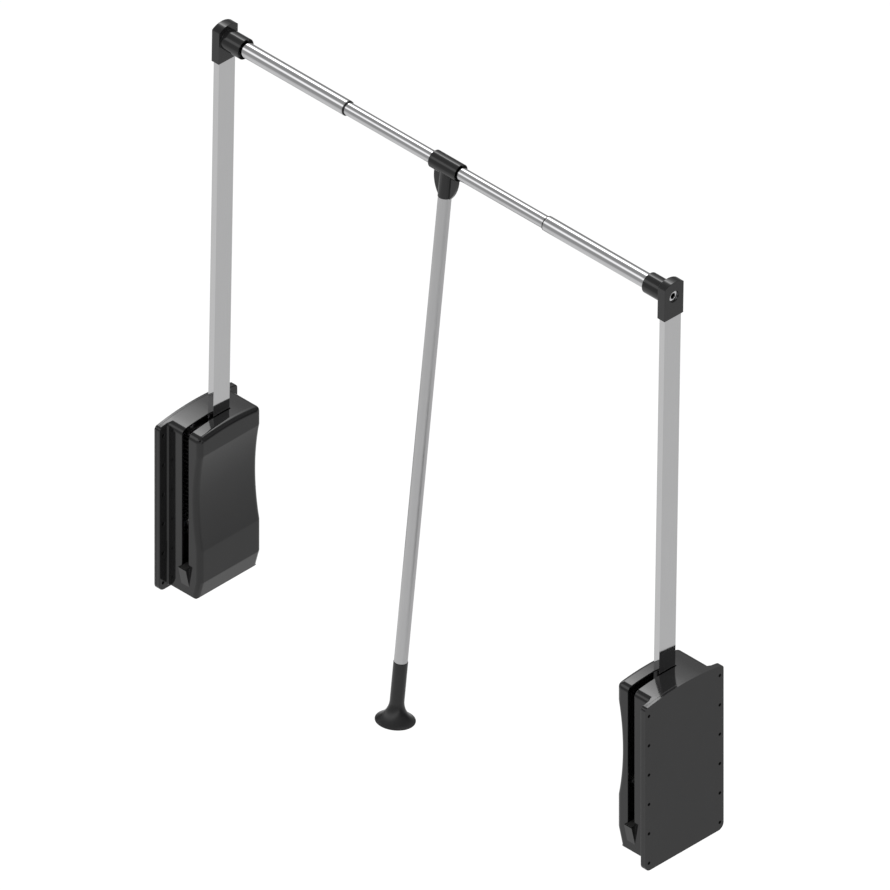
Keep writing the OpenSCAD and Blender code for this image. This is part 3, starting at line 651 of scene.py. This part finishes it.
def makeGrip():
    # A neck that leaves its side in one arc and ends in a thin soft rim
    g = grip
    end = rod["reach"]
    neck = end - rod["gripLen"]
    soft = g["rimSoft"]

    def bell(neckR, rimR, rimX, last, steps=30):
        # The angle that the flare turns through, and its points from the rim to the neck
        spread = rimR - neckR
        bend = (spread * spread + g["flare"] ** 2) / (2 * spread)
        turn = last(bend)
        turns = [turn * (1 - k / steps) for k in range(steps + 1)]
        startX = rimX - g["flare"]
        return turn, [(startX + bend * math.sin(a), neckR + bend * (1 - math.cos(a))) for a in turns]

    turn, outer = bell(g["neckR"], g["rimR"], end - g["rimT"],
                       lambda bend: math.acos((g["neckR"] + bend - g["rimR"] + soft) / (bend + soft)))
    inner = bell(g["bore"], g["rimR"] - g["wall"], end - g["rimT"] + g["wall"],
                 lambda bend: math.asin((g["flare"] - g["wall"] + g["rimT"]) / bend))[1]
    rim = arc((end - soft, g["rimR"] - soft), soft, 0, 90, 5)
    rim += arc((outer[0][0] + soft * math.sin(turn), g["rimR"] - soft), soft, 90, 90 + math.degrees(turn), 5)
    step, tip, tail = g["neckSoft"], g["tip"], neck - g["spigot"]
    profile = rim + outer[1:] + [(neck + step, g["neckR"]), (neck, g["neckR"] - step), (neck, g["spigotR"])]
    profile += [(tail + tip, g["spigotR"]), (tail, g["spigotR"] - tip), (tail, g["bore"])] + inner[:0:-1]
    profile += [(end - step, inner[0][1] - g["mouthSoft"]), (end, inner[0][1] + step)]
    return toMetres(finishNormals(fromBmesh("grip", lathe(profile, g["segments"]), rodPlace)))


dress(makeGrip(), "hand_grip")
dress(softened("rod_tee", 0.7), "rod_tee")
print("pull rod made")

# Hard edged pieces: a copy of each CAD node with its edges rounded
edgeWidths = {
    "back_plate": 0.5, "arm_foot": 0.25, "arm_tube": 0.9, "arm_cap": 0.7, "bracket": 0.4, "axle": 0.4,
    "axle_ring": 0.2, "axle_spacer": 0.3, "pivot_bush": 0.3, "crank": 0.4, "crank_sleeve": 0.3, "yoke": 0.4,
    "spring_anchor": 0.4, "damper_cylinder": 0.5, "damper_rod": 0.4, "damper_nut": 0.5, "rest_buffer": 0.8,
    "lower_buffer": 0.4, "rail_bolt": 0.6, "rail_plug": 0.5, "tube_bush": 0.3,
}
for node, width in edgeWidths.items():
    for side in sides:
        dress(softened(side + "_" + node, width), side + "_" + node)
print("hard edged pieces made: %d" % (2 * len(edgeWidths)))

# Screws: one machined screw, set with a turn of its own at each place that its CAD node holds

screwShape = {"point": 0.6, "neck": 0.01, "brim": 0.2, "crown": 0.7, "deep": 1.8, "segments": 48}
screws = {
    "frame_screws": {"d": 5, "head": 9, "headT": 2.8, "socket": 3.5, "seed": 3},
    "foot_screws": {"d": 6, "head": 10.2, "headT": 3, "socket": 4.6, "seed": 8},
}


def screwPlaces(node, side):
    # Middle of the head's face of each solid, and the screw's length
    bm = bmesh.new()
    bm.from_mesh(frame["nodes"][node].data)
    bmesh.ops.remove_doubles(bm, verts=bm.verts, dist=cadCopy["merge"] * mm)
    waiting = set(bm.verts)
    places = []
    while waiting:
        found, edge = set(), [waiting.pop()]
        while edge:
            vert = edge.pop()
            found.add(vert)
            near = {e.other_vert(vert) for e in vert.link_edges} & waiting
            waiting -= near
            edge.extend(near)
        low, high = ([pick(v.co[i] for v in found) / mm for i in range(3)] for pick in (min, max))
        face = high[0] if side == "left" else low[0]
        places.append((face, (low[1] + high[1]) / 2, (low[2] + high[2]) / 2))
        length = high[0] - low[0]
    bm.free()
    return sorted(places), length


def makeScrew(spec, length):
    # Along X, with the face of its head at zero
    r, headR, headT, socketR = spec["d"] / 2, spec["head"] / 2, spec["headT"], spec["socket"] / 2
    point, brim, crown = screwShape["point"], screwShape["brim"], screwShape["crown"]
    profile = [(-length, 0), (-length, r - point), (-length + point, r), (-headT - screwShape["neck"], r)]
    profile += [(-headT, headR - brim), (-headT + brim, headR)]
    profile += arc((-crown, headR - crown), crown, 90, 0, 5) + [(0, 0)]
    screw = fromBmesh("screw", lathe(profile, screwShape["segments"]))
    corners = [k * math.pi / 3 for k in range(6)]
    bit = [(socketR * math.cos(a), socketR * math.sin(a)) for a in corners]
    addBoolean(screw, fromBmesh("bit", prism(bit, -screwShape["deep"], 1)), "DIFFERENCE")
    return toMetres(finishNormals(screw))


def inputSockets(tree, kinds):
    names = {}
    for name, kind in kinds.items():
        socket = tree.interface.new_socket(name, in_out="INPUT", socket_type="NodeSocket" + kind)
        names[name] = socket.identifier
    tree.interface.new_socket("Geometry", in_out="OUTPUT", socket_type="NodeSocketGeometry")
    look = Look(tree.name, tree)
    given = tree.nodes.new("NodeGroupInput")
    return names, look, {s.name: Wire(look, s) for s in given.outputs if s.name}


def finishTree(look, geometry, finish):
    whole = look.node("GeometryNodeRealizeInstances", None, {"Geometry": geometry})
    painted = look.node("GeometryNodeSetMaterial", None, {"Geometry": whole, "Material": finish})
    out = look.tree.nodes.new("NodeGroupOutput")
    look.tree.links.new(painted.socket, out.inputs[0])


def runTree(name, tree, names, values):
    piece = newObject(name, bpy.data.meshes.new(name))
    rule = piece.modifiers.new("rule", "NODES")
    rule.node_group = tree
    for key, value in values.items():
        rule[names[key]] = value
    return settle(piece)


def screwTree():
    tree = bpy.data.node_groups.new("screwSet", "GeometryNodeTree")
    names, look, ask = inputSockets(tree, {
        "Places": "Object", "Screw": "Object", "Facing": "Float", "Seed": "Int", "Finish": "Material"})
    spots = look.node("GeometryNodeObjectInfo", None, {"Object": ask["Places"]}, "Geometry")
    screw = look.node("GeometryNodeObjectInfo", None, {"Object": ask["Screw"]}, "Geometry")
    sixth = {2: 0.0, 3: math.pi / 3, 8: ask["Seed"]}
    loose = look.node("FunctionNodeRandomValue", {"data_type": "FLOAT"}, sixth, 1)
    turn = look.node("ShaderNodeCombineXYZ", None, {0: loose, 1: 0.0, 2: ask["Facing"]})
    placed = look.node("GeometryNodeInstanceOnPoints", None, {
        "Points": spots, "Instance": screw, "Rotation": turn})
    finishTree(look, placed, ask["Finish"])
    return tree, names


tree, names = screwTree()
for node, spec in screws.items():
    for side in sides:
        places, length = screwPlaces(side + "_" + node, side)
        screw = makeScrew(spec, length)
        spots = newObject("spots", bpy.data.meshes.new("spots"))
        spots.data.from_pydata([[c * mm for c in place] for place in places], [], [])
        piece = runTree(side + "_" + node, tree, names, {
            "Places": spots, "Screw": screw, "Facing": 0.0 if side == "left" else math.pi,
            "Seed": spec["seed"], "Finish": finishes["zinc_steel"]})
        bpy.data.objects.remove(spots)
        bpy.data.objects.remove(screw)
        dress(piece, side + "_" + node)
print("screws made")

# Lift springs, which the yoke stretches: a helix by its rule, made at the height of the CAD spring

coil = {"outer": 24, "wire": 2.8, "turns": 21, "steps": 32, "sides": 14, "held": 4}


def springTree():
    tree = bpy.data.node_groups.new("helicalSpring", "GeometryNodeTree")
    names, look, ask = inputSockets(tree, {
        "Coil radius": "Float", "Wire radius": "Float", "Height": "Float", "Turns": "Float",
        "Finish": "Material"})
    path = look.node("GeometryNodeCurveSpiral", None, {
        "Resolution": coil["steps"], "Rotations": ask["Turns"], "Start Radius": ask["Coil radius"],
        "End Radius": ask["Coil radius"], "Height": ask["Height"], "Reverse": False})
    ring = look.node("GeometryNodeCurvePrimitiveCircle", None, {
        "Resolution": coil["sides"], "Radius": ask["Wire radius"]})
    wire = look.node("GeometryNodeCurveToMesh", None, {
        "Curve": path, "Profile Curve": ring, "Fill Caps": True})
    finishTree(look, wire, ask["Finish"])
    return tree, names


tree, names = springTree()
for side in sides:
    node = side + "_lift_spring"
    low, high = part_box(node)
    spring = runTree(node, tree, names, {
        "Coil radius": (coil["outer"] - coil["wire"]) / 2 * mm, "Wire radius": coil["wire"] / 2 * mm,
        "Height": high.z - low.z - coil["wire"] * mm, "Turns": float(coil["turns"]),
        "Finish": finishes["spring_steel"]})
    middle = (low + high) / 2
    spring.data.transform(Matrix.Translation((middle.x, middle.y, low.z + coil["wire"] / 2 * mm)))
    spring.data.polygons.foreach_set("use_smooth", [True] * len(spring.data.polygons))
    spring.name = node + "_visual"
    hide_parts(node)
    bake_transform(spring)
print("springs made")

# Camera: an isometric view; its centre in millimetres, the rest in metres
view = {"centre": (485.6, -5.2, 313.2), "scale": 1.2027, "far": 4.0, "clip": 20}
camera = newObject("camera", bpy.data.cameras.new("camera"))
camera.data.type = "ORTHO"
camera.data.ortho_scale = view["scale"]
camera.data.clip_end = view["clip"]
back = Vector((1, -1, 1)).normalized()
camera.location = Vector(view["centre"]) * mm + back * view["far"]
camera.rotation_euler = (math.atan(math.sqrt(2)), 0, math.pi / 4)
bpy.context.scene.camera = camera

# Light: an even white tent, which polished faces see dimmer, with two long soft strips along the rail

tent = {"even": 0.75, "dim": 0.35, "stripPeak": 6.0, "leftEdge": (0.25, -0.2), "frontEdge": (0.3, -0.1)}
tentGreys = [
    (-180, 0.22), (-120, 0.7), (-40, 0.7), (-12, 0.4), (5, 0.36), (20, 0.4), (60, 0.42), (75, 0.3),
    (90, 0.32), (100, 0.45), (140, 0.75), (150, 0.62), (156, 0.5), (162, 0.25), (180, 0.22),
]
stripGreys = [
    (20, 0.0), (31, 0.95), (46, 0.95), (56, 0.0), (100, 0.05), (108, 0.4), (113, 2.4), (117, 5.4), (119, 5.0),
    (122, 3.2), (129, 1.8), (137, 0.5), (146, 0.0),
]


def ringRamp(look, angle, stops):
    # A grey that depends on the angle round the rail, in degrees from the front horizon
    ramp = [((place + 180) / 360, grey / tent["stripPeak"]) for place, grey in stops]
    return look.node("ShaderNodeValToRGB", {"ramp": ramp}, {"Fac": angle}) * tent["stripPeak"]


def smoothStep(look, value, edge, ends=(0.0, 1.0)):
    # A smooth step of a value between the two ends of an edge
    return look.node("ShaderNodeMapRange", {"interpolation_type": "SMOOTHSTEP"}, {
        "Value": value, "From Min": edge[0], "From Max": edge[1], "To Min": ends[0], "To Max": ends[1]})


def light(look, kind, strength):
    return look.node(kind, None, {"Color": (1, 1, 1, 1), "Strength": strength})


def rayKinds(look):
    node = look.node("ShaderNodeLightPath").socket.node
    names = ("Is Camera Ray", "Is Glossy Ray", "Is Transmission Ray")
    camera, glossy, through = (Wire(look, node.outputs[name]) for name in names)
    return camera, look.math("MAXIMUM", glossy, through)


def mix(look, factor, first, second):
    return look.node("ShaderNodeMixShader", None, {0: factor, 1: first, 2: second})


world = bpy.data.worlds.new("tent")
bpy.context.scene.world = world
world.use_nodes = True
sky = Look("sky", world.node_tree)
wayX, wayY, wayZ = sky.axes("Generated")
angle = sky.math("ARCTAN2", wayZ, wayY * -1) / (2 * math.pi) + 0.5
leftward = smoothStep(sky, wayX, tent["leftEdge"])
forward = smoothStep(sky, wayY, tent["frontEdge"])
bright = sky.math("MAXIMUM", leftward, forward)
base = ringRamp(sky, angle, tentGreys)
strips = ringRamp(sky, angle, stripGreys)
mirrorGrey = base * (bright * (1 - tent["dim"]) + tent["dim"]) + strips * bright
seen, shiny = rayKinds(sky)
evenLight = light(sky, "ShaderNodeBackground", tent["even"])
mirrorLight = light(sky, "ShaderNodeBackground", mirrorGrey)
backdrop = light(sky, "ShaderNodeBackground", 1.0)
whole = mix(sky, seen, mix(sky, shiny, evenLight, mirrorLight), backdrop)
sky.node("ShaderNodeOutputWorld", None, {"Surface": whole})

softbox = {"size": (1.6, 1.2), "energy": 14, "spot": (0.1, -1.0, 2.3), "tilt": (28, -8, 0)}
lamp = newObject("softbox", bpy.data.lights.new("softbox", "AREA"))
lamp.data.shape = "RECTANGLE"
lamp.data.size, lamp.data.size_y = softbox["size"]
lamp.data.energy = softbox["energy"]
lamp.visible_glossy = False  # mirrors see the tent alone
lamp.location = softbox["spot"]
lamp.rotation_euler = [math.radians(turn) for turn in softbox["tilt"]]

# Floor: pale, white to the camera but for the object's shadow; mirrors see it fade with distance
ground = {
    "half": 12, "spot": (0.5, 0, -1.12), "grey": 0.8, "glow": 0.4, "near": 0.835, "slope": 0.13,
    "darkest": 0.62, "palest": 0.74, "fadeEdge": (2.5, 8.0), "fadeEnds": (1.0, 0.55),
}
bm = bmesh.new()
bmesh.ops.create_grid(bm, x_segments=1, y_segments=1, size=ground["half"])
floorMesh = bpy.data.meshes.new("floor")
bm.to_mesh(floorMesh)
bm.free()
floor = newObject("floor", floorMesh)
floor.location = ground["spot"]
look = Look("paleFloor")
spotX, spotY = look.axes()[:2]
sloped = look.math("MAXIMUM", (spotX + spotY) * -ground["slope"] + ground["near"], ground["darkest"])
sloped = look.math("MINIMUM", sloped, ground["palest"])
away = look.math("SQRT", spotX * spotX + spotY * spotY)
fade = smoothStep(look, away, ground["fadeEdge"], ground["fadeEnds"])
shade = look.node("ShaderNodeBsdfDiffuse", None, {"Color": (ground["grey"],) * 3 + (1,)})
glow = light(look, "ShaderNodeEmission", ground["glow"])
white = look.node("ShaderNodeAddShader", None, {0: shade, 1: glow})
mirrorGlow = light(look, "ShaderNodeEmission", sloped * fade)
seen, shiny = rayKinds(look)
whole = mix(look, seen, mix(look, shiny, shade, mirrorGlow), white)
look.node("ShaderNodeOutputMaterial", None, {"Surface": whole})
floorMesh.materials.append(look.material)

bpy.context.scene.view_settings.view_transform = "Standard"
